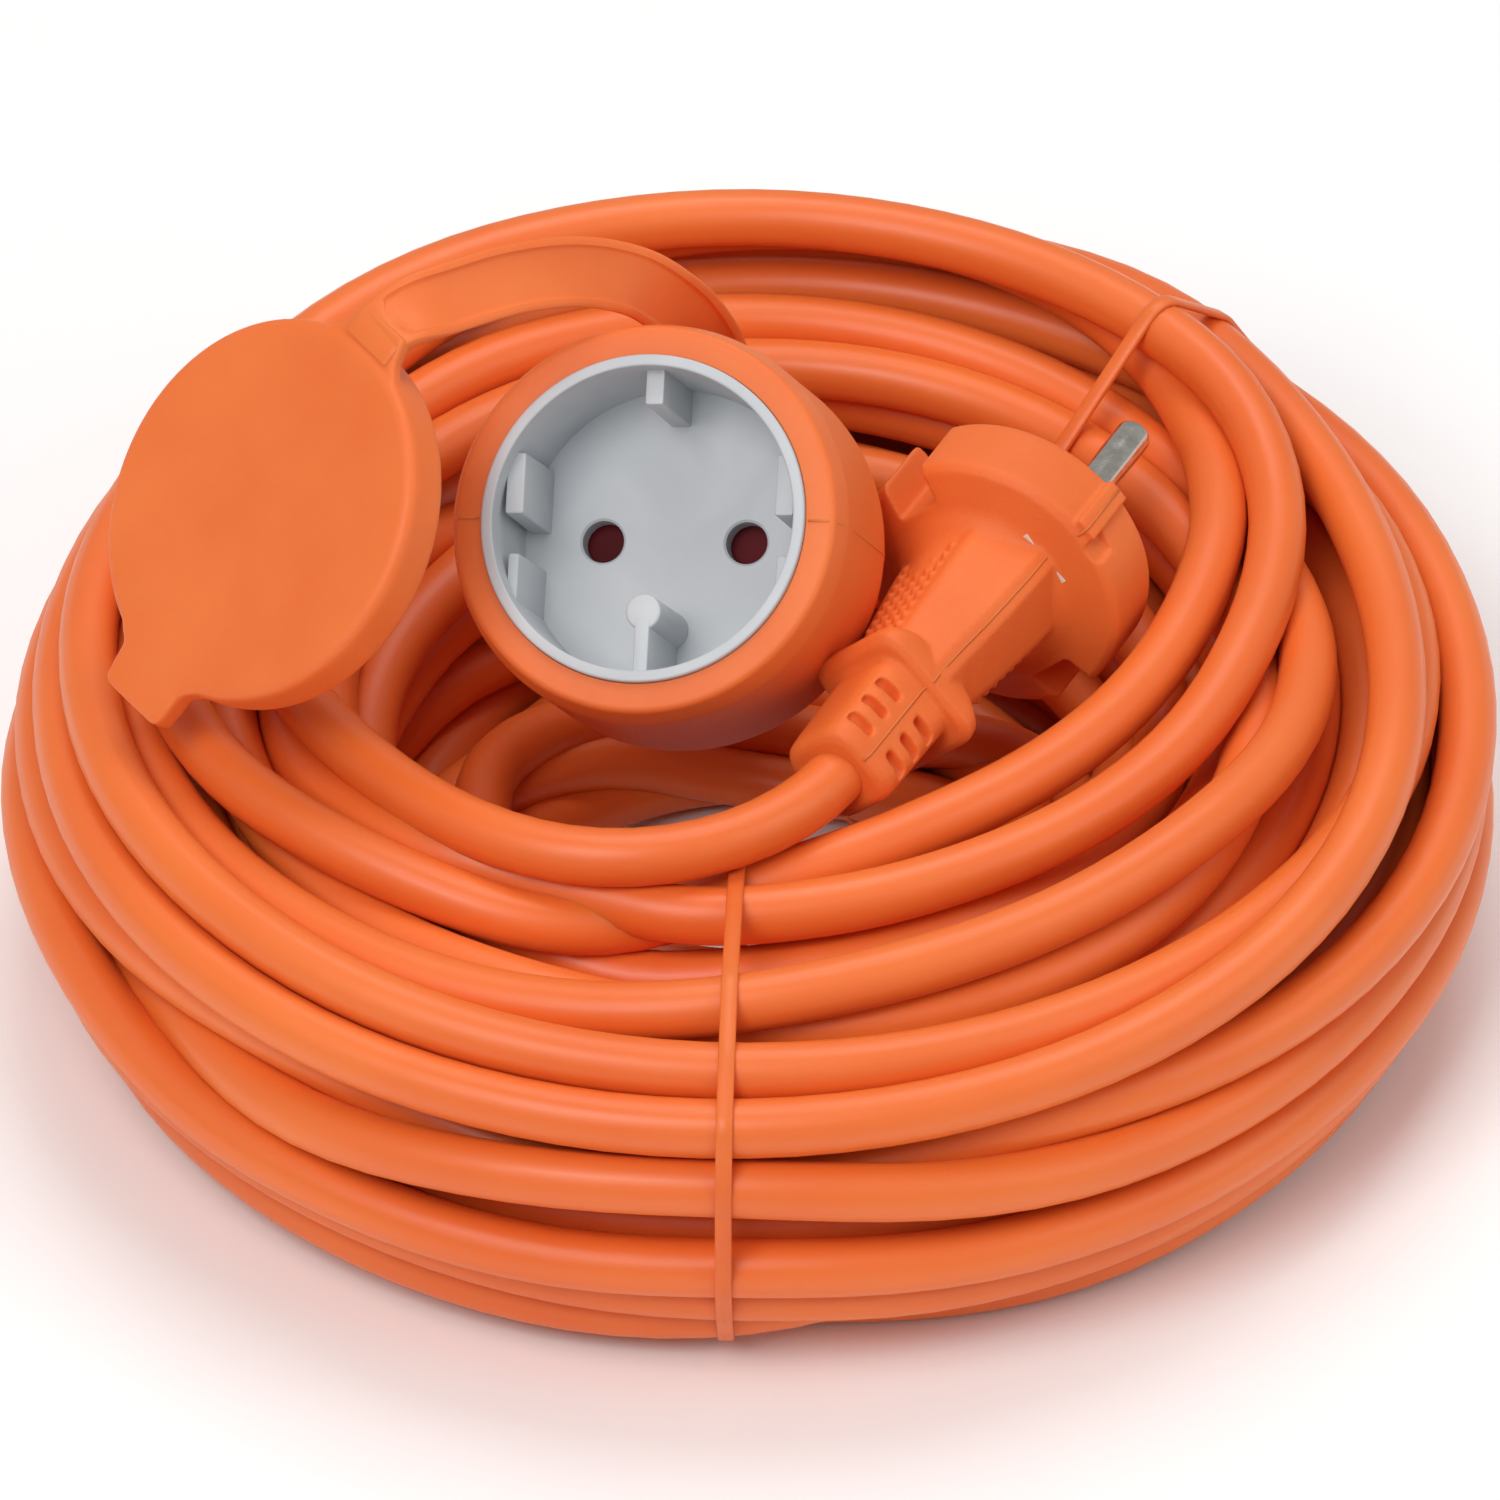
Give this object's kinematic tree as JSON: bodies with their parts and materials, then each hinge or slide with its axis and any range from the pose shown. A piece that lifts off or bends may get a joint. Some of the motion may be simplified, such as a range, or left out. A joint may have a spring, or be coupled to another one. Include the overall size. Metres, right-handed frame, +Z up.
{
  "type": "extension cord",
  "caption": "Coiled and tied orange extension cord with a two-pin contour plug and a trailing socket that has a flip cap on a strap.",
  "frame": {"origin": "centre of the coil's footprint on the floor", "axes": "+Z up along the coil's axis, +Y to the back, +X to the right with the socket and plug facing the front"},
  "size_m": [0.1924, 0.1928, 0.1045],
  "materials": {
    "orange_sheath": "satin",
    "orange_tie": "satin",
    "orange_moulding": "satin",
    "grey_plastic": "satin",
    "white_plastic": "matte",
    "dark_red_plastic": "satin",
    "brass": "satin",
    "spring_steel": "satin",
    "nickel_plate": "polished",
    "brown_insulation": "satin",
    "blue_insulation": "satin"
  },
  "bodies": {
    "cord": {"cable_coil": "orange_sheath", "cable_socket_tail": "orange_sheath", "cable_plug_tail": "orange_sheath", "tie_front": "orange_tie", "tie_back": "orange_tie", "socket_body": "orange_moulding", "socket_insert": "grey_plastic", "contact_housing": "white_plastic", "contact_left": "brass", "contact_right": "brass", "contact_clips": "spring_steel", "shutter_spring": "spring_steel", "socket_lead_brown": "brown_insulation", "socket_lead_blue": "blue_insulation", "cap_collar": "orange_moulding", "plug_body": "orange_moulding", "plug_pin_carrier": "white_plastic", "plug_pin_left": "nickel_plate", "plug_pin_right": "nickel_plate", "plug_lead_brown": "brown_insulation", "plug_lead_blue": "blue_insulation"},
    "shutter": {"shutter": "dark_red_plastic"},
    "cap": {"cap": "orange_moulding", "cap_strap": "orange_moulding"}
  },
  "joints": [
    {"name": "shutter_turn", "type": "hinge", "parent": "cord", "child": "shutter", "pos_m": [-0.00877, 0.00441, 0.05869], "axis": [-0.2343, -0.6268, 0.7431], "range_deg": [0, 40], "stiffness_Nm_per_rad": 0.002, "springref_deg": -17.19},
    {"name": "cap_swing", "type": "hinge", "parent": "cord", "child": "cap", "pos_m": [-0.04222, 0.07762, 0.03626], "axis": [0.0072, 0.4295, 0.9031], "range_deg": [0, 26.49], "deforming": ["cap_strap"]}
  ]
}
